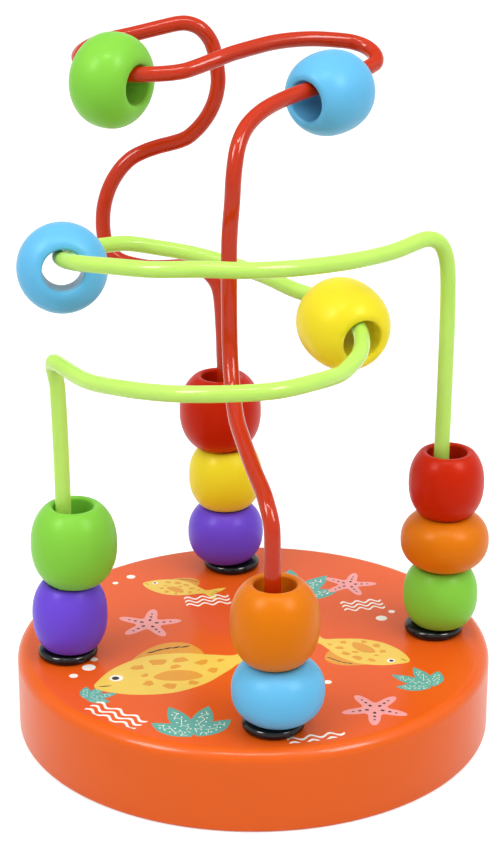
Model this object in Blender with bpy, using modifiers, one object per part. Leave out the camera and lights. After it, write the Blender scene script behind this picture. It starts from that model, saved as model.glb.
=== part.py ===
# Wooden bead maze: two bent wires on a round base, with sliding beads.
# Metres, +Z up. The origin is the centre of the base's underside.
# The left post stands at -X, the right at +X, the front at -Y and the back at +Y.

from math import ceil, cos, radians, sin, sqrt, tau

import bmesh
import bpy
from mathutils import Matrix, Vector

mm = 0.001

# Base
base_diameter = 120 * mm
base_thickness = 21 * mm
base_top_round = 3 * mm
base_bottom_round = 1 * mm
base_steps = 64

# Feet of the wires
foot_inset = 13 * mm
foot_turn = radians(6.3)
hole_depth = 13 * mm
hole_gap = 0.3 * mm
seat_gap = 0.3 * mm

# Bushes that hold the wires
bush_flange_diameter = 14.9 * mm
bush_flange_thickness = 2.1 * mm
bush_flange_round = 0.7 * mm
bush_shank_diameter = 8 * mm
bush_shank_length = 11 * mm
bush_wire_gap = 0.25 * mm
bush_steps = 20

# Wires
wire_diameter = 3.9 * mm
frame_height = 148 * mm
wire_end_lift = 0.5 * mm
wire_turn_step = radians(14)
wire_sides_resolution = 2

# Beads
bead_bore = 10 * mm
bead_mouth_land = 0.9 * mm
bead_fullness = 2.5
bead_mouth_round = 0.5 * mm
bead_gap = 0.3 * mm
hang_gap = 0.4 * mm
bead_steps = 22
bead_arc_pieces = 8

# Each bead's diameter and length
bead_sizes = {
    "left_purple_bead": (18.8 * mm, 17.4 * mm),
    "left_green_bead": (21.4 * mm, 20.2 * mm),
    "right_green_bead": (19 * mm, 15.6 * mm),
    "right_orange_bead": (22.4 * mm, 14 * mm),
    "right_red_bead": (19 * mm, 16.6 * mm),
    "front_blue_bead": (22.2 * mm, 14.6 * mm),
    "front_orange_bead": (21.2 * mm, 19.6 * mm),
    "back_purple_bead": (20.4 * mm, 15.4 * mm),
    "back_yellow_bead": (19.8 * mm, 16.8 * mm),
    "back_red_bead": (21.8 * mm, 19.8 * mm),
    "side_blue_bead": (22 * mm, 14.6 * mm),
    "side_yellow_bead": (21.8 * mm, 19.8 * mm),
    "top_green_bead": (23.8 * mm, 16.2 * mm),
    "top_blue_bead": (20.8 * mm, 18.4 * mm),
}

# Overrun of every cutter past the face that it cuts
overrun = 1 * mm

# Points of a turned shape that meet nearer than this are one
turn_merge = 0.01 * mm

base_radius = base_diameter / 2
foot_radius = base_radius - foot_inset
wire_radius = wire_diameter / 2
bore_radius = bead_bore / 2
bush_bore_radius = wire_radius + bush_wire_gap
bush_top = base_thickness + seat_gap + bush_flange_thickness
play = bore_radius - wire_radius

# Colours, as linear red, green and blue
orange_paint = (0.76, 0.13, 0.022)
lime_coat = (0.50, 0.83, 0.11)
red_coat = (0.61, 0.045, 0.010)
black_plastic = (0.010, 0.010, 0.011)
bead_colours = {
    "green": (0.22, 0.60, 0.07),
    "purple": (0.16, 0.07, 0.58),
    "orange": (0.80, 0.22, 0.015),
    "red": (0.52, 0.020, 0.007),
    "yellow": (0.87, 0.68, 0.03),
    "blue": (0.17, 0.55, 0.87),
}

# Where the four posts stand, as shares of the foot circle's radius
post_shares = {"left": (-1.007, -0.069), "right": (0.995, 0), "front": (-0.014, -1), "back": (-0.014, 0.98)}

# Round stretches where a bead travels: centre and radius as shares, then the lean about X and the
# tilt about Y, the angles where the stretch starts and ends and the angle where its bead rests
side_turn = {
    "centre_shares": (-0.43, 0.06, 0.691),
    "radius_share": 0.553,
    "lean": radians(-9.8),
    "tilt": 0,
    "start": radians(110),
    "end": radians(232),
    "rest": radians(180),
}
right_turn = {
    "centre_shares": (-0.13, -0.30, 0.582),
    "radius_share": 0.640,
    "lean": radians(8.6),
    "tilt": 0,
    "start": radians(-40),
    "end": radians(55),
    "rest": radians(20),
}
top_turn = {
    "centre_shares": (-0.38, 1.08, 0.976),
    "radius_share": 0.474,
    "lean": radians(10.8),
    "tilt": radians(5),
    "start": radians(-78),
    "end": radians(-158),
    "rest": radians(-129),
}

# The straight stretch that carries the top blue bead
slant_start_shares = (0.22, 0.33, 0.924)
slant_end_shares = (0.71, 0.75, 0.9405)


def place(shares):
    """A point from its shares: X and Y of the foot circle's radius, Z of the frame's height."""
    x, y, z = shares
    flat = Matrix.Rotation(foot_turn, 3, "Z") @ Vector((x * foot_radius, y * foot_radius, 0))
    return flat + Vector((0, 0, base_thickness + z * frame_height))


def post_point(post, height):
    x, y = post_shares[post]
    point = place((x, y, 0))
    point.z = height
    return point


def turn_frame(turn):
    """The matrix of a round stretch: its centre, its lean, its tilt and the feet's turn."""
    turned = Matrix.Rotation(foot_turn, 4, "Z") @ Matrix.Rotation(turn["lean"], 4, "X")
    turned = turned @ Matrix.Rotation(-turn["tilt"], 4, "Y")
    return Matrix.Translation(place(turn["centre_shares"])) @ turned


def turn_point(turn, angle):
    radius = turn["radius_share"] * foot_radius
    return turn_frame(turn) @ Vector((radius * cos(angle), radius * sin(angle), 0))


def turn_points(turn, count):
    """Points along a round stretch, from its start to its end."""
    step = (turn["end"] - turn["start"]) / (count - 1)
    return [turn_point(turn, turn["start"] + step * index) for index in range(count)]


def slant_points(count):
    start, end = place(slant_start_shares), place(slant_end_shares)
    return [start.lerp(end, step / (count - 1)) for step in range(count)]


# The wire ends stand just clear of the bottom of their holes
wire_end_height = base_thickness - hole_depth + wire_end_lift

# The top of each post's straight run, which leans a little
run_top_shares = {
    "left": (-1.020, -0.05, 0.475),
    "right": (1.014, 0.00, 0.630),
    "front": (-0.022, -1.00, 0.325),
    "back": (-0.054, 0.99, 0.400),
}


def post_run(post):
    """The straight run of one post, from its end in the base to its first bend."""
    top = place(run_top_shares[post])
    return [post_point(post, wire_end_height), post_point(post, bush_top), top]


# The green wire, from the left post to the right one
green_front_shares = [
    (-1.042, -0.068, 0.512),
    (-1.036, -0.125, 0.532),
    (-0.994, -0.215, 0.534),
    (-0.88, -0.46, 0.536),
    (-0.72, -0.71, 0.550),
    (-0.48, -0.95, 0.5655),
    (-0.18, -1.06, 0.575),
    (0.00, -1.045, 0.576),
    (0.17, -0.945, 0.574),
]
green_back_shares = [
    (0.09, 0.38, 0.618),
    (-0.22, 0.54, 0.640),
    (-0.46, 0.60, 0.652),
]
green_top_shares = [
    (-0.56, -0.52, 0.7205),
    (-0.32, -0.60, 0.726),
    (-0.10, -0.62, 0.7235),
    (0.17, -0.55, 0.7185),
    (0.44, -0.40, 0.712),
    (0.68, -0.22, 0.708),
    (0.867, -0.073, 0.713),
    (0.926, -0.044, 0.709),
    (0.973, -0.020, 0.695),
    (1.002, -0.004, 0.670),
]

# The red wire, from the front post to the back one
red_rise_shares = [
    (-0.024, -0.985, 0.347),
    (-0.035, -0.935, 0.368),
    (-0.050, -0.85, 0.386),
    (-0.076, -0.72, 0.403),
    (-0.10, -0.57, 0.422),
    (-0.125, -0.37, 0.446),
    (-0.13, -0.21, 0.477),
    (-0.13, -0.08, 0.535),
    (-0.13, -0.05, 0.600),
    (-0.13, -0.05, 0.705),
    (-0.12, -0.05, 0.775),
    (-0.118, -0.04, 0.820),
    (-0.092, 0.01, 0.863),
    (-0.026, 0.10, 0.8935),
    (0.09, 0.21, 0.915),
]
red_return_shares = [
    (0.743, 0.791, 0.945),
    (0.757, 0.844, 0.951),
    (0.746, 0.897, 0.958),
    (0.712, 0.940, 0.965),
    (0.662, 0.965, 0.970),
    (0.617, 0.969, 0.973),
    (0.42, 0.94, 0.980),
    (0.20, 0.86, 0.980),
    (0.00, 0.76, 0.970),
    (-0.12, 0.69, 0.962),
]
red_fall_shares = [
    (-0.823, 0.988, 0.957),
    (-0.792, 1.064, 0.962),
    (-0.731, 1.12, 0.968),
    (-0.65, 1.144, 0.974),
    (-0.52, 1.15, 0.982),
    (-0.34, 1.16, 0.994),
    (-0.24, 1.16, 0.998),
    (-0.16, 1.15, 0.989),
    (-0.10, 1.15, 0.965),
    (-0.075, 1.13, 0.935),
    (-0.066, 1.11, 0.903),
    (-0.086, 1.10, 0.867),
    (-0.145, 1.11, 0.830),
    (-0.25, 1.12, 0.7985),
    (-0.41, 1.14, 0.783),
    (-0.54, 1.15, 0.765),
    (-0.63, 1.15, 0.735),
    (-0.69, 1.14, 0.695),
    (-0.71, 1.13, 0.650),
    (-0.68, 1.11, 0.615),
    (-0.59, 1.09, 0.595),
    (-0.45, 1.07, 0.585),
    (-0.27, 1.04, 0.580),
    (-0.15, 1.02, 0.567),
    (-0.085, 1.01, 0.540),
    (-0.066, 1.00, 0.503),
    (-0.058, 0.99, 0.450),
]


def green_route():
    route = post_run("left") + [place(shares) for shares in green_front_shares]
    route += turn_points(right_turn, 7)
    route += [place(shares) for shares in green_back_shares]
    route += turn_points(side_turn, 9)
    route += [place(shares) for shares in green_top_shares]
    return route + post_run("right")[::-1]


def red_route():
    route = post_run("front") + [place(shares) for shares in red_rise_shares]
    route += slant_points(4)
    route += [place(shares) for shares in red_return_shares]
    route += turn_points(top_turn, 7)
    route += [place(shares) for shares in red_fall_shares]
    return route + post_run("back")[::-1]


def smooth_through(points, turn_step):
    """A smooth line through the points: each span is a cubic, cut finer the more it bends."""
    ends = [points[0] * 2 - points[1]] + points + [points[-1] * 2 - points[-2]]
    line = [points[0].copy()]
    for before, start, end, after in zip(ends, ends[1:], ends[2:], ends[3:]):
        step_in = sqrt((start - before).length)
        span = sqrt((end - start).length)
        step_out = sqrt((after - end).length)
        leave = (start - before) / step_in - (end - before) / (step_in + span) + (end - start) / span
        arrive = (end - start) / span - (after - start) / (span + step_out) + (after - end) / step_out
        pieces = max(1, ceil(leave.angle(arrive) / turn_step))
        for piece in range(1, pieces + 1):
            t = piece / pieces
            line.append(
                start * (2 * t**3 - 3 * t**2 + 1)
                + leave * span * (t**3 - 2 * t**2 + t)
                + end * (3 * t**2 - 2 * t**3)
                + arrive * span * (t**3 - t**2)
            )
    return line


def make_material(name, colour, roughness, coat):
    material = bpy.data.materials.new(name)
    material.use_nodes = True
    shader = material.node_tree.nodes["Principled BSDF"]
    shader.inputs["Base Color"].default_value = (*colour, 1)
    shader.inputs["Metallic"].default_value = 0
    shader.inputs["Roughness"].default_value = roughness
    shader.inputs["Coat Weight"].default_value = coat
    material.diffuse_color = (*colour, 1)
    return material


def add_object(name, data, collection, material=None):
    item = bpy.data.objects.new(name, data)
    collection.objects.link(item)
    if material:
        data.materials.append(material)
    return item


def turn_about_z(item, steps):
    screw = item.modifiers.new("turn", "SCREW")
    screw.angle = tau
    screw.steps = steps
    screw.render_steps = steps
    screw.use_merge_vertices = True
    screw.merge_threshold = turn_merge
    screw.use_smooth_shade = True
    return item


def turned_object(name, outline, closed, steps, collection, material=None):
    """A shape turned about Z. The outline runs down its outer side, at +X."""
    mesh = bpy.data.meshes.new(name)
    edges = [(index, index + 1) for index in range(len(outline) - 1)]
    if closed:
        edges.append((len(outline) - 1, 0))
    mesh.from_pydata([(radius, 0, height) for radius, height in outline], edges, [])
    item = add_object(name, mesh, collection, material)
    return turn_about_z(item, steps)


def corner_round(centre_radius, centre_height, radius, start, end, count):
    """Outline points of a rounded corner, between two angles in degrees."""
    angles = [radians(start + (end - start) * step / (count - 1)) for step in range(count)]
    return [(centre_radius + radius * cos(a), centre_height + radius * sin(a)) for a in angles]


def make_base(parts, cutters):
    """The turned disc, with a blind hole for each foot of the wires."""
    material = make_material("orange_painted_wood", orange_paint, 0.32, 0.3)
    inner = base_radius - base_top_round
    lower = base_radius - base_bottom_round
    outline = [(0, base_thickness)]
    outline += corner_round(inner, base_thickness - base_top_round, base_top_round, 90, 0, 6)
    outline += corner_round(lower, base_bottom_round, base_bottom_round, 0, -90, 4)
    outline += [(0, 0)]
    base = turned_object("base", outline, False, base_steps, parts, material)
    for post in post_shares:
        radius = bush_shank_diameter / 2 + hole_gap
        mesh = bpy.data.meshes.new(post + "_hole_cutter")
        shape = bmesh.new()
        depth = hole_depth + overrun
        bmesh.ops.create_cone(
            shape, cap_ends=True, segments=bush_steps, radius1=radius, radius2=radius, depth=depth
        )
        shape.to_mesh(mesh)
        shape.free()
        cutter = add_object(post + "_hole_cutter", mesh, cutters)
        middle = base_thickness - (hole_depth - overrun) / 2
        cutter.location = post_point(post, middle)
        cutter.hide_render = True
        cutter.display_type = "WIRE"
        cut = base.modifiers.new(post + "_hole", "BOOLEAN")
        cut.operation = "DIFFERENCE"
        cut.object = cutter
    return base


def bush_outline():
    """The bush's flange rests on the base, its shank fills the hole and its bore holds the wire's end."""
    flange = bush_flange_diameter / 2
    shank = bush_shank_diameter / 2
    top = bush_flange_thickness
    outline = [(bush_bore_radius, top)]
    outline += corner_round(flange - bush_flange_round, top - bush_flange_round, bush_flange_round, 90, 0, 4)
    outline += [(flange, 0), (shank, 0), (shank, -bush_shank_length), (bush_bore_radius, -bush_shank_length)]
    return outline


def make_bushes(parts, material):
    """Four alike bushes, one at each post, sharing one mesh."""
    shared = None
    for post in post_shares:
        if shared is None:
            bush = turned_object(post + "_bush", bush_outline(), True, bush_steps, parts, material)
            shared = bush.data
        else:
            bush = turn_about_z(add_object(post + "_bush", shared, parts), bush_steps)
        bush.location = post_point(post, base_thickness + seat_gap)


def make_wire(name, route, parts, material):
    """One bent wire: a round tube along its smooth route."""
    curve = bpy.data.curves.new(name, "CURVE")
    curve.dimensions = "3D"
    curve.bevel_depth = wire_radius
    curve.bevel_resolution = wire_sides_resolution
    curve.use_fill_caps = True
    line = smooth_through(route, wire_turn_step)
    spline = curve.splines.new("POLY")
    spline.points.add(len(line) - 1)
    for point, spot in zip(spline.points, line):
        point.co = (*spot, 1)
    spline.use_smooth = True
    return add_object(name, curve, parts, material)


def bead_outline(size):
    """The bead's outline: a full oval side between two flat lands, and a bore with rounded mouths."""
    diameter, length = size
    radius, half = diameter / 2, length / 2
    land = bore_radius + bead_mouth_round + bead_mouth_land
    rise = half / (1 - (land / radius) ** bead_fullness) ** (1 / bead_fullness)
    heights = [half - length * step / bead_arc_pieces for step in range(bead_arc_pieces + 1)]
    shares = [(1 - abs(height / rise) ** bead_fullness) ** (1 / bead_fullness) for height in heights]
    outline = [(radius * share, height) for share, height in zip(shares, heights)]
    mouth = bore_radius + bead_mouth_round
    outline += corner_round(mouth, bead_mouth_round - half, bead_mouth_round, 270, 180, 2)
    outline += corner_round(mouth, half - bead_mouth_round, bead_mouth_round, 180, 90, 2)
    return outline


def make_bead(name, parts, materials):
    colour = name.split("_")[1]
    if colour not in materials:
        materials[colour] = make_material(colour + "_painted_wood", bead_colours[colour], 0.42, 0.15)
    return turned_object(name, bead_outline(bead_sizes[name]), True, bead_steps, parts, materials[colour])


# Each post's beads from the bottom up
stacks = {
    "left": ["left_purple_bead", "left_green_bead"],
    "right": ["right_green_bead", "right_orange_bead", "right_red_bead"],
    "front": ["front_blue_bead", "front_orange_bead"],
    "back": ["back_purple_bead", "back_yellow_bead", "back_red_bead"],
}

# How far each of them rests to the side, as a share of the bore's play on the wire
aside_shares = {
    "left_purple_bead": 0.26,
    "left_green_bead": 0.76,
    "right_green_bead": 0.48,
    "right_orange_bead": 0.69,
    "right_red_bead": 0.68,
    "front_blue_bead": 0.36,
    "front_orange_bead": 0.10,
    "back_purple_bead": -0.53,
    "back_yellow_bead": -0.52,
    "back_red_bead": -0.95,
}


def make_stacks(parts, materials):
    """The beads that rest on each bush, one on the other."""
    for post, beads in stacks.items():
        height = bush_top
        for name in beads:
            half = bead_sizes[name][1] / 2
            height += bead_gap + half
            bead = make_bead(name, parts, materials)
            bead.location = post_point(post, height) + Vector((aside_shares[name] * play, 0, 0))
            height += half


def bead_matrix(spot, along, up):
    """The matrix of a bead threaded at a spot, its bore along the wire and its Y axis upwards."""
    z_axis = along.normalized()
    y_axis = (up - z_axis * up.dot(z_axis)).normalized()
    turned = Matrix((y_axis.cross(z_axis), y_axis, z_axis)).transposed().to_4x4()
    return Matrix.Translation(spot) @ turned


def hang_on_turn(name, turn, parts, materials):
    """A bead under an empty at its turn's centre. It sits inwards by half the arc's rise over its length."""
    pivot = add_object(name + "_pivot", None, parts)
    pivot.matrix_world = turn_frame(turn)
    bead = make_bead(name, parts, materials)
    bead.parent = pivot
    radius = turn["radius_share"] * foot_radius
    inset = (bead_sizes[name][1] / 2) ** 2 / radius / 4
    drop = sqrt((play - hang_gap) ** 2 - inset**2)
    out = Vector((cos(turn["rest"]), sin(turn["rest"]), 0))
    up = Vector((0, 0, 1))
    bead.matrix_basis = bead_matrix(out * (radius - inset) - up * drop, up.cross(out), up)


def make_hung_beads(parts, materials):
    """The four beads that hang on the bent stretches."""
    hang_on_turn("side_blue_bead", side_turn, parts, materials)
    hang_on_turn("side_yellow_bead", right_turn, parts, materials)
    hang_on_turn("top_green_bead", top_turn, parts, materials)
    bead = make_bead("top_blue_bead", parts, materials)
    start, end = place(slant_start_shares), place(slant_end_shares)
    up = Vector((0, 0, 1))
    middle = start.lerp(end, 0.5) - up * (play - hang_gap)
    bead.matrix_world = bead_matrix(middle, end - start, up)


def main():
    for item in list(bpy.data.objects):
        bpy.data.objects.remove(item)
    parts = bpy.data.collections.new("bead_maze")
    cutters = bpy.data.collections.new("cutters")
    for collection in (parts, cutters):
        bpy.context.scene.collection.children.link(collection)
    make_base(parts, cutters)
    black = make_material("black_gloss_plastic", black_plastic, 0.18, 0.0)
    make_bushes(parts, black)
    make_wire("green_wire", green_route(), parts, make_material("lime_coated_wire", lime_coat, 0.2, 0.4))
    make_wire("red_wire", red_route(), parts, make_material("red_coated_wire", red_coat, 0.2, 0.4))
    materials = {}
    make_stacks(parts, materials)
    make_hung_beads(parts, materials)


main()
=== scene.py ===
from math import asin, cos, pi, radians, sin, sqrt, tau

import bmesh
import bpy
import numpy as np
from mathutils import Matrix, Vector
from mathutils.geometry import delaunay_2d_cdt


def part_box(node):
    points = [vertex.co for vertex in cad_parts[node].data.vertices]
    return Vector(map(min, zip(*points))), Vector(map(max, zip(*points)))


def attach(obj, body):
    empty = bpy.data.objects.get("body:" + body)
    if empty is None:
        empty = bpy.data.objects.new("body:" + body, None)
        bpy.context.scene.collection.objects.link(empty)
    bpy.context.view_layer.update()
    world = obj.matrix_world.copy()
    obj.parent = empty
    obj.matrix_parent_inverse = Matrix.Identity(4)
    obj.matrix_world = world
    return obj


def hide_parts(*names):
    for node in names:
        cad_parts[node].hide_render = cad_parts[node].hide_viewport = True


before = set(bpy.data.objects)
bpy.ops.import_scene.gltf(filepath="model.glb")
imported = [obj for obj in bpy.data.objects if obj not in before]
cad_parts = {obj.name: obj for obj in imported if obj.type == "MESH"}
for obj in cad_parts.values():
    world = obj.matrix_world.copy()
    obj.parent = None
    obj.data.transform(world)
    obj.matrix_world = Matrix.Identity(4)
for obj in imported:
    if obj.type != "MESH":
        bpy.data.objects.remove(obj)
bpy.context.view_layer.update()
mm = 0.001


def linearColour(red, green, blue):
    # a colour as a paint chart gives it, 0 to 255, turned into the linear values that shaders take
    shares = [part / 255 for part in (red, green, blue)]
    return tuple(s / 12.92 if s <= 0.04045 else ((s + 0.055) / 1.055) ** 2.4 for s in shares) + (1,)


# Small helpers for node trees
def addNode(tree, kind, **settings):
    node = tree.nodes.new(kind)
    for name, value in settings.items():
        setattr(node, name, value)
    return node


def feed(tree, socket, value):
    # links a socket, or sets the value that stands in it
    if isinstance(value, bpy.types.NodeSocket):
        tree.links.new(value, socket)
    elif value is not None:
        socket.default_value = value


def mathNode(tree, operation, first, second=None, third=None, clamp=False):
    node = addNode(tree, "ShaderNodeMath", operation=operation, use_clamp=clamp)
    for socket, value in zip(node.inputs, (first, second, third)):
        feed(tree, socket, value)
    return node.outputs[0]


def vectorMath(tree, operation, first, second=None):
    node = addNode(tree, "ShaderNodeVectorMath", operation=operation)
    feed(tree, node.inputs[0], first)
    feed(tree, node.inputs[1], second)
    return node.outputs["Value" if operation in ("LENGTH", "DOT_PRODUCT") else "Vector"]


def mixColour(tree, share, first, second):
    node = addNode(tree, "ShaderNodeMix", data_type="RGBA")
    feed(tree, node.inputs[0], share)
    feed(tree, node.inputs[6], first)
    feed(tree, node.inputs[7], second)
    return node.outputs[2]


def newTree(kind, name, inputs, outputs):
    # a node group with named sockets, each given as its name, its kind and, if it has one, its own value
    tree = bpy.data.node_groups.new(name, kind)
    for way, sockets in (("INPUT", inputs), ("OUTPUT", outputs)):
        for socketName, socketKind, *value in sockets:
            socket = tree.interface.new_socket(socketName, in_out=way, socket_type=socketKind)
            if value:
                socket.default_value = value[0]
    return tree, tree.nodes.new("NodeGroupInput").outputs, tree.nodes.new("NodeGroupOutput").inputs


def keyFor(socketName):
    # a socket's name as a keyword, such as wireDiameter for Wire Diameter
    key = socketName.replace(" ", "")
    return key[0].lower() + key[1:]


def useGroup(tree, group, **values):
    node = addNode(tree, "ShaderNodeGroup", node_tree=group)
    for socket in node.inputs:
        if keyFor(socket.name) in values:
            feed(tree, socket, values[keyFor(socket.name)])
    return node.outputs


def addObject(name, data):
    item = bpy.data.objects.new(name, data)
    bpy.context.scene.collection.objects.link(item)
    return item


print("stage 1: effects that more than one finish uses")

# The grain of sprayed paint, in features per metre, and of the lathe's rings under it
paintGrain = {
    "mottleScale": 95,
    "mottleDetail": 3,
    "peelScale": 1500,
    "peelDetail": 2,
    "speckScale": 160,
    "speckSize": 0.045,
    "roughSwing": 0.16,
    "ringWander": 1.5,
    "speckHeight": 0.5,
    "peelHeight": 0.5,
}


def addNoise(tree, place, scale, detail):
    noise = addNode(tree, "ShaderNodeTexNoise")
    feed(tree, noise.inputs["Vector"], place)
    noise.inputs["Scale"].default_value = scale
    noise.inputs["Detail"].default_value = detail
    return noise.outputs["Fac"]


def makePaintGroup():
    # sprayed paint: soft mottling, a fine orange peel and rare specks of dust
    tree, given, out = newTree(
        "ShaderNodeTree",
        "sprayedPaint",
        [
            ("Vector", "NodeSocketVector"),
            ("Colour", "NodeSocketColor"),
            ("Mottle", "NodeSocketFloat", 0.05),
            ("Roughness", "NodeSocketFloat", 0.4),
        ],
        [("Colour", "NodeSocketColor"), ("Roughness", "NodeSocketFloat"), ("Height", "NodeSocketFloat")],
    )
    broad = addNoise(tree, given["Vector"], paintGrain["mottleScale"], paintGrain["mottleDetail"])
    peel = addNoise(tree, given["Vector"], paintGrain["peelScale"], paintGrain["peelDetail"])
    specks = addNode(tree, "ShaderNodeTexVoronoi", feature="F1")
    feed(tree, specks.inputs["Vector"], given["Vector"])
    specks.inputs["Scale"].default_value = paintGrain["speckScale"]
    swing = mathNode(tree, "SUBTRACT", broad, 0.5)
    tone = mathNode(tree, "MULTIPLY_ADD", swing, mathNode(tree, "MULTIPLY", given["Mottle"], 2), 1.0)
    shade = vectorMath(tree, "SCALE", given["Colour"])
    feed(tree, shade.node.inputs["Scale"], tone)
    feed(tree, out["Colour"], shade)
    uneven = mathNode(tree, "MULTIPLY_ADD", swing, paintGrain["roughSwing"], given["Roughness"])
    feed(tree, out["Roughness"], uneven)
    speck = mathNode(tree, "LESS_THAN", specks.outputs["Distance"], paintGrain["speckSize"])
    height = mathNode(tree, "MULTIPLY", peel, paintGrain["peelHeight"])
    feed(tree, out["Height"], mathNode(tree, "MULTIPLY_ADD", speck, paintGrain["speckHeight"], height))
    return tree


def makeTurningGroup():
    # the faint rings that a lathe leaves under paint, read along a turned piece's own outline
    tree, given, out = newTree(
        "ShaderNodeTree",
        "turningRings",
        [("Vector", "NodeSocketVector"), ("Rings", "NodeSocketFloat", 60.0)],
        [("Height", "NodeSocketFloat"), ("Mask", "NodeSocketFloat")],
    )
    along = addNode(tree, "ShaderNodeSeparateXYZ")
    feed(tree, along.inputs[0], given["Vector"])
    place = addNode(tree, "ShaderNodeCombineXYZ")
    feed(tree, place.inputs[0], mathNode(tree, "MULTIPLY", along.outputs["Y"], given["Rings"]))
    feed(tree, place.inputs[1], mathNode(tree, "MULTIPLY", along.outputs["X"], paintGrain["ringWander"]))
    rings = addNoise(tree, place.outputs[0], scale=1, detail=2)
    feed(tree, out["Height"], rings)
    feed(tree, out["Mask"], mathNode(tree, "SUBTRACT", rings, 0.5))
    return tree


sprayedPaint = makePaintGroup()
turningRings = makeTurningGroup()


def startMaterial(name):
    material = bpy.data.materials.new(name)
    material.use_nodes = True
    tree = material.node_tree
    shader = tree.nodes["Principled BSDF"]
    return material, tree, shader


def objectPlace(tree):
    return addNode(tree, "ShaderNodeTexCoord").outputs["Object"]


def setFinish(shader, look):
    # the values that are the same all over a piece stand on the shader's own sockets
    shader.inputs["Specular IOR Level"].default_value = look["gloss"]
    shader.inputs["Coat Weight"].default_value = look["coatWeight"]
    shader.inputs["Coat Roughness"].default_value = look["coatRoughness"]


def bumpInto(tree, shader, height, distance):
    bump = addNode(tree, "ShaderNodeBump")
    bump.inputs["Distance"].default_value = distance
    feed(tree, bump.inputs["Height"], height)
    tree.links.new(bump.outputs["Normal"], shader.inputs["Normal"])


# Bead paints: colours as on a paint chart
beadPaint = {
    "colours": {
        "green": (131, 206, 66),
        "purple": (109, 73, 215),
        "orange": (220, 118, 9),
        "red": (196, 35, 3),
        "yellow": (244, 224, 42),
        "blue": (100, 184, 229),
    },
    "mottle": 0.035,
    "roughness": 0.41,
    "gloss": 0.24,
    "glintTint": 0.65,
    "coatWeight": 0.06,
    "coatRoughness": 0.22,
    "peelDepth": 0.03 * mm,
    "ringsPerMetre": 70.0,
    "ringTone": 0.1,
    "ringShade": 0.9,
    "ringHeight": 0.8,
}


def makeBeadPaint(colour):
    material, tree, shader = startMaterial(colour + "BeadPaint")
    paint = useGroup(
        tree,
        sprayedPaint,
        vector=objectPlace(tree),
        colour=linearColour(*beadPaint["colours"][colour]),
        mottle=beadPaint["mottle"],
        roughness=beadPaint["roughness"],
    )
    outline = addNode(tree, "ShaderNodeUVMap", uv_map="outline").outputs["UV"]
    rings = useGroup(tree, turningRings, vector=outline, rings=beadPaint["ringsPerMetre"])
    # the lathe's rings hold a little more paint, so they show as a faint change of tone
    ringTone = mathNode(tree, "MULTIPLY_ADD", rings["Mask"], beadPaint["ringTone"], 0.5)
    dark = vectorMath(tree, "SCALE", paint["Colour"])
    dark.node.inputs["Scale"].default_value = beadPaint["ringShade"]
    feed(tree, shader.inputs["Base Color"], mixColour(tree, ringTone, dark, paint["Colour"]))
    feed(tree, shader.inputs["Roughness"], paint["Roughness"])
    setFinish(shader, beadPaint)
    glint = [255 + (part - 255) * beadPaint["glintTint"] for part in beadPaint["colours"][colour]]
    shader.inputs["Specular Tint"].default_value = linearColour(*glint)
    height = mathNode(tree, "MULTIPLY_ADD", rings["Height"], beadPaint["ringHeight"], paint["Height"])
    bumpInto(tree, shader, height, beadPaint["peelDepth"])
    return material


print("stage 2: trees that turn outlines and follow wires")


def newShapeTree(name, inputs):
    shape, coat = ("Geometry", "NodeSocketGeometry"), ("Material", "NodeSocketMaterial")
    return newTree("GeometryNodeTree", name, [shape, *inputs, coat], [shape])


def endShapeTree(tree, geometry, given, out):
    # every tree ends alike: real meshes, smooth, with their material
    smooth = addNode(tree, "GeometryNodeSetShadeSmooth")
    feed(tree, smooth.inputs["Geometry"], geometry)
    real = addNode(tree, "GeometryNodeRealizeInstances")
    feed(tree, real.inputs["Geometry"], smooth.outputs["Geometry"])
    coat = addNode(tree, "GeometryNodeSetMaterial")
    feed(tree, coat.inputs["Geometry"], real.outputs["Geometry"])
    feed(tree, coat.inputs["Material"], given["Material"])
    feed(tree, out["Geometry"], coat.outputs["Geometry"])


def keepValue(tree, name, geometry, value):
    # keeps a value on each point, and gives the geometry and the kept value
    keep = addNode(tree, "GeometryNodeCaptureAttribute", domain="POINT")
    keep.capture_items.new("FLOAT", name)
    feed(tree, keep.inputs["Geometry"], geometry)
    feed(tree, keep.inputs[1], value)
    return keep.outputs["Geometry"], keep.outputs[name]


def storeOutline(tree, mesh, around, along):
    # keeps how far a point is round and along the piece as a UV map named outline
    pair = addNode(tree, "ShaderNodeCombineXYZ")
    feed(tree, pair.inputs[0], around)
    feed(tree, pair.inputs[1], along)
    store = addNode(tree, "GeometryNodeStoreNamedAttribute", data_type="FLOAT2", domain="CORNER")
    feed(tree, store.inputs["Geometry"], mesh)
    store.inputs["Name"].default_value = "outline"
    feed(tree, store.inputs["Value"], pair.outputs[0])
    return store.outputs["Geometry"]


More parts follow.
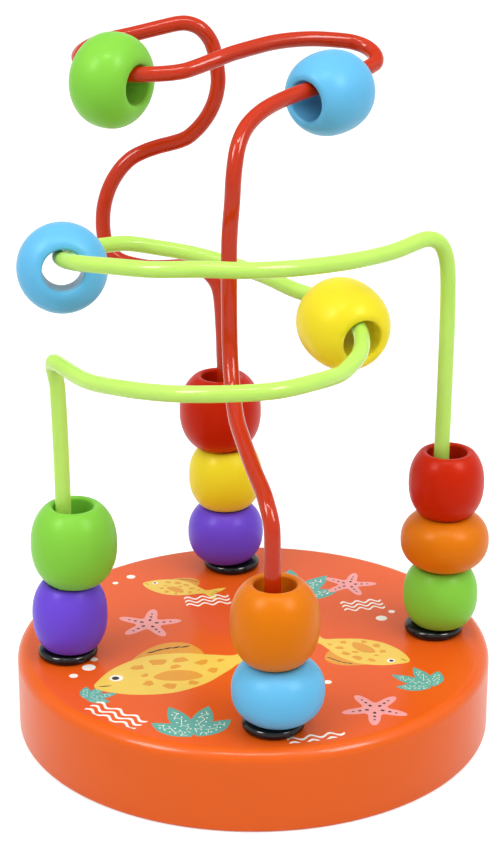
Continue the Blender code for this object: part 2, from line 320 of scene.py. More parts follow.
def makeTurnTree():
    # turns an outline about Z: the outline's X is the radius and its Y the height
    tree, given, out = newShapeTree(
        "turnedPiece",
        [
            ("Turn Steps", "NodeSocketInt", 64),
            ("Path Radius", "NodeSocketFloat", 0.01),
            ("Weld", "NodeSocketFloat", 0.000002),
        ],
    )
    outline = addNode(tree, "GeometryNodeMeshToCurve")
    feed(tree, outline.inputs["Mesh"], given["Geometry"])
    axes = addNode(tree, "ShaderNodeSeparateXYZ")
    feed(tree, axes.inputs[0], addNode(tree, "GeometryNodeInputPosition").outputs[0])
    place = addNode(tree, "ShaderNodeCombineXYZ")
    feed(tree, place.inputs[0], mathNode(tree, "SUBTRACT", axes.outputs["X"], given["Path Radius"]))
    feed(tree, place.inputs[1], mathNode(tree, "MULTIPLY", axes.outputs["Y"], -1.0))
    moved = addNode(tree, "GeometryNodeSetPosition")
    feed(tree, moved.inputs["Geometry"], outline.outputs["Curve"])
    feed(tree, moved.inputs["Position"], place.outputs[0])
    share = addNode(tree, "GeometryNodeSplineParameter")
    profile, along = keepValue(tree, "Along", moved.outputs["Geometry"], share.outputs["Length"])
    path = addNode(tree, "GeometryNodeCurvePrimitiveCircle", mode="RADIUS")
    feed(tree, path.inputs["Resolution"], given["Turn Steps"])
    feed(tree, path.inputs["Radius"], given["Path Radius"])
    rail, around = keepValue(tree, "Around", path.outputs["Curve"], share.outputs["Factor"])
    turn = addNode(tree, "GeometryNodeCurveToMesh")
    feed(tree, turn.inputs["Curve"], rail)
    feed(tree, turn.inputs["Profile Curve"], profile)
    weld = addNode(tree, "GeometryNodeMergeByDistance")
    feed(tree, weld.inputs["Geometry"], turn.outputs["Mesh"])
    feed(tree, weld.inputs["Distance"], given["Weld"])
    endShapeTree(tree, storeOutline(tree, weld.outputs["Geometry"], around, along), given, out)
    return tree


def makeWireTree():
    # a round tube along a smooth line through the route's points
    tree, given, out = newShapeTree(
        "bentWire",
        [
            ("Wire Diameter", "NodeSocketFloat", 0.0039),
            ("Step", "NodeSocketFloat", 0.0008),
            ("Sides", "NodeSocketInt", 24),
        ],
    )
    even = addNode(tree, "GeometryNodeResampleCurve", mode="LENGTH")
    feed(tree, even.inputs["Curve"], given["Geometry"])
    feed(tree, even.inputs["Length"], given["Step"])
    share = addNode(tree, "GeometryNodeSplineParameter")
    rail, along = keepValue(tree, "Along", even.outputs["Curve"], share.outputs["Length"])
    ring = addNode(tree, "GeometryNodeCurvePrimitiveCircle", mode="RADIUS")
    feed(tree, ring.inputs["Resolution"], given["Sides"])
    feed(tree, ring.inputs["Radius"], mathNode(tree, "MULTIPLY", given["Wire Diameter"], 0.5))
    profile, around = keepValue(tree, "Around", ring.outputs["Curve"], share.outputs["Factor"])
    tube = addNode(tree, "GeometryNodeCurveToMesh")
    feed(tree, tube.inputs["Curve"], rail)
    feed(tree, tube.inputs["Profile Curve"], profile)
    tube.inputs["Fill Caps"].default_value = True
    endShapeTree(tree, storeOutline(tree, tube.outputs["Mesh"], around, along), given, out)
    return tree


turnTree = makeTurnTree()
wireTree = makeWireTree()


def shapeBy(source, tree, name, **values):
    # runs a tree on an object and keeps the result as a plain mesh object at the origin
    modifier = source.modifiers.new("shape", "NODES")
    modifier.node_group = tree
    for item in tree.interface.items_tree:
        if item.item_type == "SOCKET" and item.in_out == "INPUT" and keyFor(item.name) in values:
            modifier[item.identifier] = values[keyFor(item.name)]
    graph = bpy.context.evaluated_depsgraph_get()
    mesh = bpy.data.meshes.new_from_object(source.evaluated_get(graph))
    mesh.name = name
    bpy.data.objects.remove(source)
    return addObject(name, mesh)


def outlineObject(name, points, closed):
    # an outline of (radius, height) points as a line of edges
    mesh = bpy.data.meshes.new(name)
    edges = [(i, i + 1) for i in range(len(points) - 1)]
    if closed:
        edges.append((len(points) - 1, 0))
    mesh.from_pydata([(x, y, 0) for x, y in points], edges, [])
    return addObject(name, mesh)


def turnPiece(name, points, closed, steps, material, place=Matrix.Identity(4)):
    source = outlineObject(name + "Outline", points, closed)
    piece = shapeBy(source, turnTree, name, turnSteps=steps, material=material)
    piece.data.transform(place)
    outwards(piece.data)
    return piece


def outwards(mesh):
    work = bmesh.new()
    work.from_mesh(mesh)
    bmesh.ops.recalc_face_normals(work, faces=work.faces)
    work.to_mesh(mesh)
    work.free()


def corner(centreX, centreY, radius, start, end, steps):
    # points of a rounded corner between two angles in degrees
    angles = [radians(start + (end - start) * i / steps) for i in range(steps + 1)]
    return [(centreX + radius * cos(a), centreY + radius * sin(a)) for a in angles]


def nodePoints(name):
    return np.array([v.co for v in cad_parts[name].data.vertices], float)


print("stage 3: beads")

# A bead's shape; its diameter and length are read from its own node
beadShape = {
    "bore": 10 * mm,
    "mouthRound": 0.7 * mm,
    "land": 0.85 * mm,
    "landFlat": 0.4,
    "shoulderShare": 0.92,
    "fullness": 2.28,
    "sideSteps": 48,
    "shoulderSteps": 6,
    "mouthSteps": 8,
    "turnSteps": 96,
}


def beadOutline(diameter, length):
    # a full oval side that rolls over a soft shoulder into a narrow land, and the straight bore
    radius, half = diameter / 2, length / 2
    bore, bend, power = beadShape["bore"] / 2, beadShape["mouthRound"], beadShape["fullness"]
    land = bore + bend + beadShape["land"]
    drop = (1 - (land / radius) ** power) ** 0.5
    rise = half / drop ** (2 / power)
    reach = asin(drop) * beadShape["shoulderShare"]
    steps = beadShape["sideSteps"]
    side = []
    for turn in [reach - 2 * reach * i / steps for i in range(steps + 1)]:
        height = rise * abs(sin(turn)) ** (2 / power)
        side.append((radius * cos(turn) ** (2 / power), height if turn > 0 else -height))
    # the shoulder is a curve drawn towards the corner of side and land
    foot, tip = side[0], (land - beadShape["land"] * (1 - beadShape["landFlat"]), half)
    shoulder = []
    for t in [i / beadShape["shoulderSteps"] for i in range(beadShape["shoulderSteps"])]:
        parts = (((1 - t) ** 2, tip), (2 * t * (1 - t), (land, half)), (t * t, foot))
        shoulder.append(tuple(sum(share * spot[k] for share, spot in parts) for k in (0, 1)))
    points = shoulder + side + [(x, -y) for x, y in reversed(shoulder)]
    points += corner(bore + bend, bend - half, bend, 270, 180, beadShape["mouthSteps"])
    points += corner(bore + bend, half - bend, bend, 180, 90, beadShape["mouthSteps"])
    return points


def beadSize(name):
    # a turned node's own spread gives the place of its middle, the direction of its bore and its size
    points = nodePoints(name)
    centre = points.mean(axis=0)
    values, vectors = np.linalg.eigh(np.cov((points - centre).T))
    gaps = [abs(values[i] - (values.sum() - values[i]) / 2) for i in range(3)]
    axis = Vector(vectors[:, int(np.argmax(gaps))])
    if axis.z < 0:
        axis.negate()
    heights = (points - centre) @ np.array(axis)
    spans = np.linalg.norm(points - centre - np.outer(heights, axis), axis=1)
    centre = Vector(centre) + axis * float(heights.max() + heights.min()) / 2
    place = Matrix.Translation(centre) @ axis.to_track_quat("Z", "Y").to_matrix().to_4x4()
    return place, float(spans.max()) * 2, float(np.ptp(heights))


paints = {colour: makeBeadPaint(colour) for colour in beadPaint["colours"]}
for node in [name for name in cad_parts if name.endswith("_bead")]:
    side, colour = node.split("_")[:2]
    place, diameter, length = beadSize(node)
    name, points = side + colour.capitalize() + "Bead", beadOutline(diameter, length)
    bead = turnPiece(name, points, True, beadShape["turnSteps"], paints[colour], place)
    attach(bead, node)
    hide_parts(node)


print("stage 4: wires")

wireLook = {
    "diameter": 3.9 * mm,
    "step": 0.7 * mm,
    "sides": 28,
    "lime": (190, 232, 104),
    "limeDeep": (152, 205, 56),
    "red": (194, 48, 8),
    "redDeep": (166, 32, 3),
    "roughness": 0.2,
    "gloss": 0.08,
    "coatWeight": 0.36,
    "coatRoughness": 0.06,
    "mottle": 0.05,
    "flowStretch": (2, 55, 1),
    "flowShare": 0.5,
    "flowBase": -0.1,
    "flowHeight": 2.0,
    "flowDepth": 0.02 * mm,
    "ringWeld": 0.01 * mm,
    "capDepth": 0.02 * mm,
    "capReach": 6 * mm,
    # small corrections of the bends: middle, reach and shift, in millimetres
    "redNudges": [
        ((-29, 51, 107), 20, (0, 0, -2.2)),
        ((-36, 51, 111), 9, (-0.2, 0, -1.2)),
        ((-24, 37, 163), 15, (0, 0, 0.5)),
        ((-13, 40, 165), 16, (0, 0, 0.9)),
        ((-5, -2, 145), 15, (0.6, 0, 0)),
    ],
    "limeNudges": [((-49, -6, 97), 9, (0.4, 0, 0.4))],
}


def makeWireCoat(name, colour, deep):
    # a dipped coat: clear gloss, with slow changes of tone along the wire and tiny flow marks
    material, tree, shader = startMaterial(name)
    place = addNode(tree, "ShaderNodeUVMap", uv_map="outline").outputs["UV"]
    stretch = addNode(tree, "ShaderNodeMapping")
    stretch.inputs["Scale"].default_value = wireLook["flowStretch"]
    feed(tree, stretch.inputs["Vector"], place)
    flow = addNoise(tree, stretch.outputs[0], scale=1, detail=3)
    paint = useGroup(tree, sprayedPaint, vector=objectPlace(tree), colour=linearColour(*colour),
                     mottle=wireLook["mottle"], roughness=wireLook["roughness"])
    tone = mathNode(tree, "MULTIPLY_ADD", flow, wireLook["flowShare"], wireLook["flowBase"], clamp=True)
    feed(tree, shader.inputs["Base Color"], mixColour(tree, tone, paint["Colour"], linearColour(*deep)))
    feed(tree, shader.inputs["Roughness"], paint["Roughness"])
    setFinish(shader, wireLook)
    height = mathNode(tree, "MULTIPLY_ADD", flow, wireLook["flowHeight"], paint["Height"])
    bumpInto(tree, shader, height, wireLook["flowDepth"])
    return material


def ringCentres(name):
    # walks a wire's node ring by ring from one end cap and gives each ring's centre
    work = bmesh.new()
    work.from_mesh(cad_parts[name].data)
    bmesh.ops.remove_doubles(work, verts=work.verts, dist=wireLook["ringWeld"])
    work.verts.index_update()
    centres, seen = [], set()
    lowest = min(v.co.z for v in work.verts)
    flat = [v for v in work.verts if v.co.z < lowest + wireLook["capDepth"]]
    start = min(flat, key=lambda v: v.co.x + v.co.y)
    ring = [v for v in flat if (v.co - start.co).length < wireLook["capReach"]]
    while ring:
        centres.append(sum((v.co for v in ring), Vector()) / len(ring))
        seen.update(ring)
        beside = {edge.other_vert(v) for v in ring for edge in v.link_edges}
        ring = sorted(beside - seen, key=lambda v: v.index)  # one order, so every run gives the same wire
    work.free()
    return centres


def smoothLine(points, pieces=10):
    # a smooth line through the points, calm also where a long straight run meets a tight bend
    ends = [points[0] * 2 - points[1]] + points + [points[-1] * 2 - points[-2]]
    line = [points[0].copy()]
    for before, start, end, after in zip(ends, ends[1:], ends[2:], ends[3:]):
        stepIn, span, stepOut = (sqrt(part.length) for part in (start - before, end - start, after - end))
        leave = (start - before) / stepIn - (end - before) / (stepIn + span) + (end - start) / span
        arrive = (end - start) / span - (after - start) / (span + stepOut) + (after - end) / stepOut
        for t in (piece / pieces for piece in range(1, pieces + 1)):
            line.append(start * (2 * t**3 - 3 * t**2 + 1) + leave * span * (t**3 - 2 * t**2 + t)
                        + end * (3 * t**2 - 2 * t**3) + arrive * span * (t**3 - t**2))
    return line


def nudged(points, nudges):
    # moves what lies near each nudge's middle, fading out to its reach
    for middle, reach, shift in nudges:
        middle, shift = Vector(middle) * mm, Vector(shift) * mm
        for spot in points:
            share = max(0, 1 - (spot - middle).length / (reach * mm))
            spot += shift * share * share * (3 - 2 * share)
    return points


def bendWire(name, node, material, nudges):
    points = nudged(smoothLine(ringCentres(node)), nudges)
    curve = bpy.data.curves.new(name + "Route", "CURVE")
    curve.dimensions = "3D"
    line = curve.splines.new("POLY")
    line.points.add(len(points) - 1)
    for spot, place in zip(line.points, points):
        spot.co = (*place, 1)
    source = addObject(name + "Route", curve)
    wire = shapeBy(source, wireTree, name, wireDiameter=wireLook["diameter"], step=wireLook["step"],
                   sides=wireLook["sides"], material=material)
    outwards(wire.data)
    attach(wire, "frame")
    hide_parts(node)


for shade, node in (("lime", "green_wire"), ("red", "red_wire")):
    coat = makeWireCoat(shade + "Coat", wireLook[shade], wireLook[shade + "Deep"])
    bendWire(shade + "Wire", node, coat, wireLook[shade + "Nudges"])


print("stage 5: bushes")

bushShape = {
    "flangeDiameter": 14.9 * mm,
    "flangeThickness": 2.1 * mm,
    "flangeRound": 1.1 * mm,
    "footRound": 0.7 * mm,
    "mouthRound": 0.3 * mm,
    "shankDiameter": 8 * mm,
    "shankLength": 11 * mm,
    "bore": 4.4 * mm,
    "mouthSteps": 5,
    "flangeSteps": 10,
    "footSteps": 6,
    "turnSteps": 72,
    "colour": (14, 15, 17),
    "mottle": 0.2,
    "roughness": 0.14,
    "gloss": 0.35,
    "peelDepth": 0.012 * mm,
}


def makeBlackPlastic():
    material, tree, shader = startMaterial("blackPlastic")
    paint = useGroup(tree, sprayedPaint, vector=objectPlace(tree), colour=linearColour(*bushShape["colour"]),
                     mottle=bushShape["mottle"], roughness=bushShape["roughness"])
    feed(tree, shader.inputs["Base Color"], paint["Colour"])
    feed(tree, shader.inputs["Roughness"], paint["Roughness"])
    shader.inputs["Specular IOR Level"].default_value = bushShape["gloss"]
    bumpInto(tree, shader, paint["Height"], bushShape["peelDepth"])
    return material


def bushOutline():
    flange, top = bushShape["flangeDiameter"] / 2, bushShape["flangeThickness"]
    shank, bore, deep = bushShape["shankDiameter"] / 2, bushShape["bore"] / 2, -bushShape["shankLength"]
    bend, foot, mouth = bushShape["flangeRound"], bushShape["footRound"], bushShape["mouthRound"]
    points = corner(bore + mouth, top - mouth, mouth, 180, 90, bushShape["mouthSteps"])
    points += corner(flange - bend, top - bend, bend, 90, 0, bushShape["flangeSteps"])
    points += corner(flange - foot, foot, foot, 0, -90, bushShape["footSteps"])
    points += [(shank, 0), (shank, deep), (bore, deep)]
    return points


blackPlastic = makeBlackPlastic()
for side in ("left", "right", "front", "back"):
    node = side + "_bush"
    low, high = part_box(node)
    seat = Vector(((low.x + high.x) / 2, (low.y + high.y) / 2, high.z - bushShape["flangeThickness"]))
    bush = turnPiece(side + "Bush", bushOutline(), True, bushShape["turnSteps"], blackPlastic,
                     Matrix.Translation(seat))
    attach(bush, "frame")
    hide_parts(node)


print("stage 6: base and its printed top")

baseShape = {
    "diameter": 120 * mm,
    "thickness": 21 * mm,
    "topRound": 3 * mm,
    "bottomRound": 1 * mm,
    "topSteps": 14,
    "bottomSteps": 6,
    "undersideRings": (0.8, 0.6, 0.4, 0.2, 0),
    "turnSteps": 240,
    "side": (224, 92, 8),
    "top": (225, 88, 17),
    "roughness": 0.35,
    "gloss": 0.1,
    "coatWeight": 0.27,
    "coatRoughness": 0.14,
    "mottle": 0.035,
    "peelDepth": 0.03 * mm,
    "inkGrain": 0.1,
    "inkGrainScale": 2600,
    "inkRoughness": 0.03,
    "printRadius": 55.6 * mm,
    "holeDiameter": 8.6 * mm,
    "holeDepth": 13 * mm,
    "holeSteps": 48,
    "cutTolerance": 0.0001,
    "seamWeld": 0.004 * mm,
}

# The printed sea, in millimetres: fish, stars and weeds are (x, y, size, turn in degrees),
# bubbles are (x, y, radius) and waves are (x, y, half length, turn)
seaPrint = {
    "yellow": (233, 197, 84),
    "amber": (222, 152, 48),
    "pink": (238, 158, 156),
    "teal": (92, 168, 156),
    "dark": (58, 32, 24),
    "white": (246, 240, 230),
    "fish": [(-21, -19, 19.5, 24), (28, -7, 12.5, 152), (-21, 31, 9, -18)],
    "stars": [(-27, 9, 8.6, 12), (29, -38, 8.2, 50), (26, 33, 7.4, 75)],
    "weeds": [(-14, -52, 15, 96), (-41, -33, 8, 40), (44, -27, 11, 128), (10, 24, 17, 72)],
    "bubbles": [(-41, -16, 1.7), (-44.5, -20.5, 1.1), (-40, -11.5, 1.0), (14.8, -20, 1.5), (18.2, -24, 1.0),
                (33.5, 12, 1.5), (36.4, 16, 0.9), (-33, 38, 1.2), (-37, 34, 0.8)],
    "waves": [(-33, -41, 8, -38), (15, -53.5, 7, 14), (-12, 23, 6, 10), (29, 20, 5.5, 12)],
    "waveWidth": 0.42,
    "waveHeight": 0.75,
    "waveGap": 2.1,
}


def smoothLoop(points, steps=6):
    # a closed smooth line through a few points
    places, count = [Vector(p) for p in points], len(points)
    loop = []
    for i in range(count):
        a, b, c, d = (places[(i + k - 1) % count] for k in range(4))
        for step in range(steps):
            t = step / steps
            bend, sway = 2 * a - 5 * b + 4 * c - d, 3 * b - a - 3 * c + d
            loop.append(tuple((2 * b + (c - a) * t + bend * t * t + sway * t * t * t) / 2))
    return loop


def ovalLoop(length, width, steps=36):
    return [(length * cos(tau * i / steps), width * sin(tau * i / steps)) for i in range(steps)]


def leafLoop(length, width, steps=14):
    # a pointed leaf from one tip to the other and back
    shares = [2 * i / steps - 1 for i in range(steps)]
    there = [(s * length, -width * (1 - s * s)) for s in shares]
    return there + [(-s * length, width * (1 - s * s)) for s in shares]


def starLoop(size, steps=110):
    # five rounded arms
    angles = [tau * i / steps for i in range(steps)]
    rims = [size * (0.64 + 0.30 * cos(5 * a) + 0.06 * cos(10 * a)) for a in angles]
    return [(r * cos(a), r * sin(a)) for r, a in zip(rims, angles)]


def waveLoop(length, width, steps=30):
    # a band with three waves along it
    high = seaPrint["waveHeight"]
    line = [(length * (2 * i / steps - 1), high * sin(3 * tau * i / steps)) for i in range(steps + 1)]
    return [(x, y - width) for x, y in line] + [(x, y + width) for x, y in reversed(line)]


# The motifs, in shares of their size. A fish has its nose at -1 and its tail's tips near 1.45
fishShares = [
    (-1, 0.02), (-0.86, 0.20), (-0.56, 0.42), (-0.12, 0.55), (0.34, 0.46), (0.72, 0.24), (0.98, 0.12),
    (1.20, 0.30), (1.46, 0.46), (1.40, 0.22), (1.30, 0.00), (1.40, -0.24), (1.44, -0.48), (1.18, -0.28),
    (0.96, -0.12), (0.70, -0.26), (0.30, -0.46), (-0.16, -0.52), (-0.60, -0.38), (-0.90, -0.16),
]
topFinShares = [(-0.30, 0.48), (-0.02, 0.72), (0.30, 0.80), (0.56, 0.66), (0.60, 0.30), (0.20, 0.40)]
sideFinShares = [(-0.22, -0.02), (0.02, 0.06), (0.28, -0.06), (0.36, -0.26), (0.12, -0.28), (-0.14, -0.16)]
spotShares = [(-0.30, 0.30, 0.085), (-0.02, 0.34, 0.11), (0.28, 0.28, 0.095), (0.50, 0.10, 0.085),
              (0.14, 0.13, 0.07), (-0.12, -0.34, 0.085), (0.18, -0.37, 0.065), (0.54, -0.16, 0.07),
              (0.74, 0.06, 0.05), (-0.34, -0.16, 0.07), (-0.30, 0.06, 0.05)]

# A fish's marks: the dashes on the top fin and on the tail, the eye and the mouth,
# each as ink, loop, half length, half width, steps, place along and across, and turn in degrees
fishMarks = [("dark", leafLoop, 0.075, 0.018, 6, 0.02 + 0.115 * i, 0.62 + 0.035 * sin(i * 0.8 + 0.4), 0)
             for i in range(5)]
fishMarks += [("dark", leafLoop, 0.085, 0.012, 6, 1.25, 0.14 - 0.14 * i, 0) for i in range(3)]
fishMarks += [
    ("white", ovalLoop, 0.085, 0.085, 36, -0.66, 0.14, 0),
    ("dark", ovalLoop, 0.048, 0.048, 20, -0.67, 0.14, 0),
    ("dark", leafLoop, 0.09, 0.012, 6, -0.84, -0.22, -14),
]

# A weed's leaves are (lean in degrees, share of the longest leaf). Lengths and places along a leaf
# are shares of its length, and widths and places across it are shares of the weed's size
weedShares = {
    "leaves": ((-50, 0.74), (-17, 0.96), (17, 1.0), (50, 0.76)),
    "leafLength": 0.52,
    "leafWidth": 0.17,
    "leafPlace": 1.12,
    "veinLength": 0.72,
    "veinWidth": 0.006,
    "veinPlace": 1.05,
    "dotSize": 0.016,
    "dotPlaces": [(0.55 + 0.26 * i, 0.050 + 0.022 * (1 - abs(i - 2) / 2)) for i in range(5)],
}

# The dots on a starfish's arm are (place along it, size)
starDots = ((0.24, 0.050), (0.46, 0.042), (0.66, 0.032))
starDotStretch = 1.3


def sized(shares, size):
    return [(u * size, v * size) for u, v in shares]


def blotLoop(size, wave, lean, steps=20):
    # an uneven round blot, no two alike
    angles = [tau * i / steps for i in range(steps)]
    return [(size * (1 + 0.22 * cos(3 * a + wave)) * cos(a),
             size * (0.86 + 0.2 * sin(2 * a + lean)) * sin(a)) for a in angles]


def seaShapes():
    # every printed patch as (ink, loop, x, y, turn), the later ones over the earlier ones
    shapes = []

    def put(ink, loop, x, y, turn, along=0.0, across=0.0):
        c, s = cos(radians(turn)), sin(radians(turn))
        shapes.append((ink, loop, x + along * c - across * s, y + along * s + across * c, turn))

    # a weed: four leaves, each with a pale vein between two rows of dots
    for x, y, size, turn in seaPrint["weeds"]:
        for lean, share in weedShares["leaves"]:
            length, way = size * share * weedShares["leafLength"], turn + lean
            leaf = leafLoop(length, size * weedShares["leafWidth"])
            vein = waveLoop(length * weedShares["veinLength"], size * weedShares["veinWidth"], 8)
            dot = ovalLoop(size * weedShares["dotSize"], size * weedShares["dotSize"], 10)
            put("teal", leaf, x, y, way, length * weedShares["leafPlace"])
            put("white", vein, x, y, way, length * weedShares["veinPlace"])
            for along, across in weedShares["dotPlaces"]:
                for side in (-1, 1):
                    put("white", dot, x, y, way, length * along, side * size * across)
    # a fish: top fin, body, blots, side fin and marks
    for x, y, size, turn in seaPrint["fish"]:
        put("amber", smoothLoop(sized(topFinShares, size)), x, y, turn)
        put("yellow", smoothLoop(sized(fishShares, size)), x, y, turn)
        for u, v, spot in spotShares:
            put("amber", blotLoop(spot * size, 9 * u, 7 * v), x, y, turn, u * size, v * size)
        put("amber", smoothLoop(sized(sideFinShares, size)), x, y, turn)
        for ink, loop, length, width, steps, along, across, lean in fishMarks:
            put(ink, loop(size * length, size * width, steps), x, y, turn + lean, size * along, size * across)
    # a starfish: three dots run out along each of its arms
    for x, y, size, turn in seaPrint["stars"]:
        put("pink", starLoop(size), x, y, turn)
        for arm in range(5):
            for along, dot in starDots:
                spot = ovalLoop(size * dot * starDotStretch, size * dot, 12)
                put("dark", spot, x, y, turn + 72 * arm, along * size)
    for x, y, size in seaPrint["bubbles"]:
        put("white", ovalLoop(size, size, 28), x, y, 0)
    for x, y, length, turn in seaPrint["waves"]:
        for step in (-1, 0, 1):
            put("white", waveLoop(length, seaPrint["waveWidth"]), x, y, turn, 0, step * seaPrint["waveGap"])
    return shapes


def footPlaces():
    # the four holes sit where the bushes' nodes are
    boxes = [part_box(side + "_bush") for side in ("left", "right", "front", "back")]
    return [((low.x + high.x) / 2, (low.y + high.y) / 2) for low, high in boxes]


def printedTop(work, ink, reach, level):
    # one flat sheet of faces, cut along every printed patch, with the ink's colour kept on each face
    spots, edges, loops = [], [], []

    def addLoop(points, colour):
        first, count = len(spots), len(points)
        edges.extend((first + i, first + (i + 1) % count) for i in range(count))
        spots.extend(Vector(p) for p in points)
        loops.append((colour, np.array(points)))

    def addRing(x, y, radius, steps, colour):
        addLoop([(x + u, y + v) for u, v in ovalLoop(radius, radius, steps)], colour)

    rim, area = reach / mm, baseShape["printRadius"] / mm
    addRing(0, 0, rim, baseShape["turnSteps"], "ground")
    for name, loop, x, y, turn in seaShapes():
        a = radians(turn)
        placed = [(x + u * cos(a) - v * sin(a), y + u * sin(a) + v * cos(a)) for u, v in loop]
        # what would pass the print's edge is drawn back between it and the rim
        back = [min(1, (rim + area) / 2 / sqrt(u * u + v * v)) for u, v in placed]
        addLoop([(u * share, v * share) for (u, v), share in zip(placed, back)], name)
    addRing(0, 0, area, baseShape["turnSteps"], "area")
    for x, y in footPlaces():
        addRing(x / mm, y / mm, baseShape["holeDiameter"] / 2 / mm, baseShape["holeSteps"], "hole")
    cut = delaunay_2d_cdt(spots, edges, [], 0, baseShape["cutTolerance"], False)
    places, patches = cut[0], cut[2]
    middles = np.array([sum((places[i] for i in patch), Vector((0, 0))) / len(patch) for patch in patches])
    owner = np.array(["ground"] * len(middles), dtype=object)
    for colour, loop in loops:
        inside = np.zeros(len(middles), bool)
        for (ax, ay), (bx, by) in zip(loop, np.roll(loop, -1, axis=0)):
            if ay != by:
                passes = (middles[:, 1] < ay) != (middles[:, 1] < by)
                inside ^= passes & (middles[:, 0] < ax + (middles[:, 1] - ay) * (bx - ax) / (by - ay))
        if colour == "area":
            owner[~inside] = "ground"
        else:
            owner[inside] = colour
    flat = {}
    for patch, key in zip(patches, owner):
        if key == "hole":
            continue
        for i in patch:
            if i not in flat:
                flat[i] = work.verts.new((places[i].x * mm, places[i].y * mm, level))
        face = work.faces.new([flat[i] for i in patch])
        face.smooth = False
        colour = baseShape["top"] if key == "ground" else seaPrint[key]
        face[ink] = linearColour(*colour)[:3] + (0.0 if key == "ground" else 1.0,)


def makeBaseFinish():
    # orange paint on the sides, the ink's own colour on the top, under one clear coat
    material, tree, shader = startMaterial("printedOrangePaint")
    place = objectPlace(tree)
    ink = addNode(tree, "ShaderNodeAttribute", attribute_name="ink", attribute_type="GEOMETRY")
    grain = addNoise(tree, place, baseShape["inkGrainScale"], detail=1)
    worn = mathNode(tree, "MULTIPLY_ADD", grain, baseShape["inkGrain"], 1 - baseShape["inkGrain"] / 2)
    inked = vectorMath(tree, "SCALE", ink.outputs["Color"])
    feed(tree, inked.node.inputs["Scale"], worn)
    colour = mixColour(tree, ink.outputs["Alpha"], ink.outputs["Color"], inked)
    paint = useGroup(tree, sprayedPaint, vector=place, colour=colour, mottle=baseShape["mottle"],
                     roughness=baseShape["roughness"])
    feed(tree, shader.inputs["Base Color"], paint["Colour"])
    dull = mathNode(tree, "MULTIPLY_ADD", ink.outputs["Alpha"], baseShape["inkRoughness"], paint["Roughness"])
    feed(tree, shader.inputs["Roughness"], dull)
    setFinish(shader, baseShape)
    bumpInto(tree, shader, paint["Height"], baseShape["peelDepth"])
    return material


def sinkHoles(work, depth):
    # every open loop in the top gets a straight wall and a flat floor
    beside, walked, floors = {}, set(), 0
    for edge in work.edges:
        if edge.is_boundary:
            for vert in edge.verts:
                beside.setdefault(vert, []).append(edge.other_vert(vert))
    for first in beside:
        loop, here = [], None if first in walked else first
        while here is not None:
            loop.append(here)
            walked.add(here)
            here = next((vert for vert in beside[here] if vert not in walked), None)
        if loop:
            deep = [work.verts.new(vert.co - Vector((0, 0, depth))) for vert in loop]
            for wall in zip(loop, loop[1:] + loop[:1], deep[1:] + deep[:1], deep):
                work.faces.new(wall)
            work.faces.new(deep)
            floors += 1
    return floors


def makeBase():
    radius, top = baseShape["diameter"] / 2, baseShape["thickness"]
    upper, lower = baseShape["topRound"], baseShape["bottomRound"]
    points = corner(radius - upper, top - upper, upper, 90, 0, baseShape["topSteps"])
    points += corner(radius - lower, lower, lower, 0, -90, baseShape["bottomSteps"])
    points += [(share * (radius - lower), 0) for share in baseShape["undersideRings"]]
    base = turnPiece("baseDisc", points, False, baseShape["turnSteps"], makeBaseFinish())
    work = bmesh.new()
    work.from_mesh(base.data)
    ink = work.faces.layers.float_color.new("ink")
    for face in work.faces:
        face[ink] = linearColour(*baseShape["side"])[:3] + (0.0,)
    printedTop(work, ink, radius - upper, top)
    bmesh.ops.remove_doubles(work, verts=work.verts, dist=baseShape["seamWeld"])
    floors = sinkHoles(work, baseShape["holeDepth"])
    # the holes' walls and floors take the sides' paint
    for face in work.faces:
        if face.calc_center_median().z < top - upper / 10:
            face[ink] = linearColour(*baseShape["side"])[:3] + (0.0,)
    bmesh.ops.recalc_face_normals(work, faces=work.faces)
    openEdges = sum(edge.is_boundary for edge in work.edges)
    print("base disc:", len(work.faces), "faces,", openEdges, "open edges,", floors, "floors")
    work.to_mesh(base.data)
    work.free()
    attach(base, "frame")
    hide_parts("base")


makeBase()


print("stage 7: floor, light and camera")

studio = {
    "floor": (212, 212, 212),
    "floorReach": 4,
    "floorLift": 0.5,
    "worldLight": 0.65,
    "lamps": [
        {"name": "softLeft", "place": (-0.95, -0.6, 1.45), "size": (1.1, 1.1), "power": 13.6, "shine": False},
        {"name": "softRight", "place": (0.95, -0.6, 1.45), "size": (1.1, 1.1), "power": 13.6, "shine": False},
        {"name": "softTop", "place": (0.0, -0.05, 1.7), "size": (1.2, 1.2), "power": 5, "shine": False},
        {"name": "glintLeft", "place": (-0.90, -0.62, 1.12), "size": (0.46, 0.62), "power": 17, "shine": True},
        {"name": "glintRight", "place": (0.86, -0.66, 1.12), "size": (0.46, 0.62), "power": 17, "shine": True},
        {"name": "glintTop", "place": (0.0, -0.5, 1.35), "size": (0.6, 0.1), "power": 7, "shine": True},
    ],
    # a sheet seen only in reflections, which paints a darker reflection on the front of the base's top: where
    # it stands, and how dark the painted reflection is
    "flagDistance": 1.2,
    "flagLow": 0.62,
    "flagFade": 0.14,
    "flagTop": 2.6,
    "flagHalfWidth": 1.8,
    "flagTone": 0.3,
    "aim": (0, 0, 0.07),
    "cameraPlace": (-0.0027, -0.518055, 0.276175),
    "cameraPitch": 20.767,
    "cameraYaw": 0.180,
    "focalPixels": 2248.488,
    "framePixels": 498,
}


def stageSheet(name, corners, materialName, colour):
    # a flat sheet of the studio, matt, with a white glow whose strength the caller sets
    mesh = bpy.data.meshes.new(name)
    mesh.from_pydata(corners, [], [(0, 1, 2, 3)])
    sheet = addObject(name, mesh)
    material, tree, shader = startMaterial(materialName)
    shader.inputs["Base Color"].default_value = linearColour(*colour)
    shader.inputs["Roughness"].default_value = 0.9
    shader.inputs["Specular IOR Level"].default_value = 0
    shader.inputs["Emission Color"].default_value = (1, 1, 1, 1)
    mesh.materials.append(material)
    return sheet, tree, shader


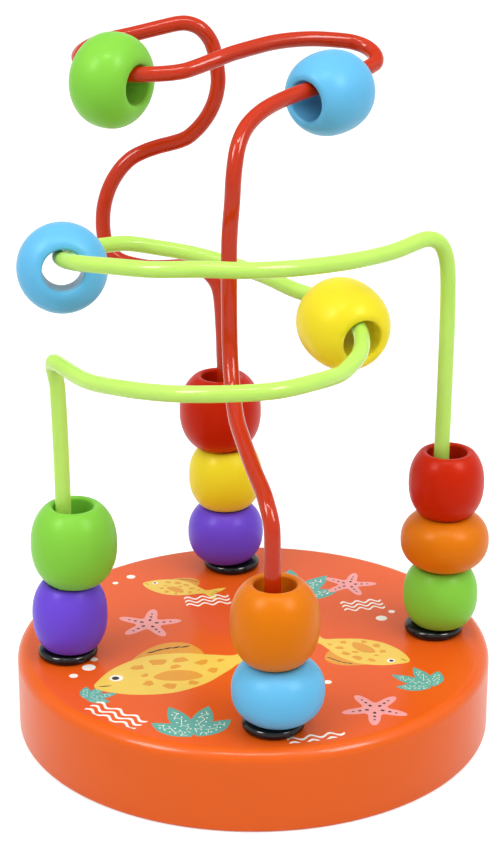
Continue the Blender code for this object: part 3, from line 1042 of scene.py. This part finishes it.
def seenShare(tree):
    # one for a ray from the camera or from a reflection, nought for the light that falls on the toy
    ray = addNode(tree, "ShaderNodeLightPath")
    return mathNode(tree, "MAXIMUM", ray.outputs["Is Camera Ray"], ray.outputs["Is Glossy Ray"])


def makeFloor():
    reach = studio["floorReach"]
    corners = [(-reach, -reach, 0), (reach, -reach, 0), (reach, reach, 0), (-reach, reach, 0)]
    tree, shader = stageSheet("floor", corners, "paleFloor", studio["floor"])[1:]
    glow = mathNode(tree, "MULTIPLY", seenShare(tree), studio["floorLift"])
    feed(tree, shader.inputs["Emission Strength"], glow)


def makeReflectionOnlySheet():
    # a dark sheet behind and above, out of the camera's sight and seen only in reflections: a painted darker
    # reflection that the gloss of the base's front part shows, white at its low edge and fading to dark grey
    # above; it casts no shadow and lights nothing
    side, low, high, back = (studio[key] for key in ("flagHalfWidth", "flagLow", "flagTop", "flagDistance"))
    corners = [(-side, back, low), (side, back, low), (side, back, high), (-side, back, high)]
    reflectionSheet, tree, shader = stageSheet("ceilingFlag", corners, "flagCloth", (0, 0, 0))
    reflectionSheet.visible_camera = reflectionSheet.visible_diffuse = reflectionSheet.visible_transmission = reflectionSheet.visible_shadow = False
    height = addNode(tree, "ShaderNodeSeparateXYZ")
    feed(tree, height.inputs[0], objectPlace(tree))
    fade = addNode(tree, "ShaderNodeMapRange", interpolation_type="SMOOTHSTEP")
    feed(tree, fade.inputs["Value"], height.outputs["Z"])
    limits = {"From Min": low, "From Max": low + studio["flagFade"], "To Min": 1, "To Max": studio["flagTone"]}
    for socket, value in limits.items():
        fade.inputs[socket].default_value = value
    feed(tree, shader.inputs["Emission Strength"], fade.outputs["Result"])


def makeWorld():
    world = bpy.data.worlds.new("studioWorld")
    bpy.context.scene.world = world
    world.use_nodes = True
    tree = world.node_tree
    light = tree.nodes["Background"]
    light.inputs["Color"].default_value = (1, 1, 1, 1)
    low = studio["worldLight"]
    feed(tree, light.inputs["Strength"], mathNode(tree, "MULTIPLY_ADD", seenShare(tree), 1 - low, low))


def makeLamps():
    for lamp in studio["lamps"]:
        data = bpy.data.lights.new(lamp["name"], "AREA")
        data.shape = "RECTANGLE"
        data.size, data.size_y = lamp["size"]
        data.energy = lamp["power"]
        item = addObject(lamp["name"], data)
        item.location = lamp["place"]
        # the broad boxes light the paint and the smaller ones give its highlights
        item.visible_glossy = lamp["shine"]
        item.visible_diffuse = not lamp["shine"]
        aim = Vector(studio["aim"]) - Vector(lamp["place"])
        item.rotation_euler = aim.to_track_quat("-Z", "Y").to_euler()


def makeCamera():
    data = bpy.data.cameras.new("camera")
    data.sensor_fit = "HORIZONTAL"
    data.sensor_width = 36
    data.lens = studio["focalPixels"] * data.sensor_width / studio["framePixels"]
    data.clip_start = 0.01
    camera = addObject("camera", data)
    camera.location = studio["cameraPlace"]
    camera.rotation_euler = (pi / 2 - radians(studio["cameraPitch"]), 0, -radians(studio["cameraYaw"]))
    bpy.context.scene.camera = camera


makeFloor()
makeReflectionOnlySheet()
makeWorld()
makeLamps()
makeCamera()
bpy.context.scene.view_settings.view_transform = "Standard"
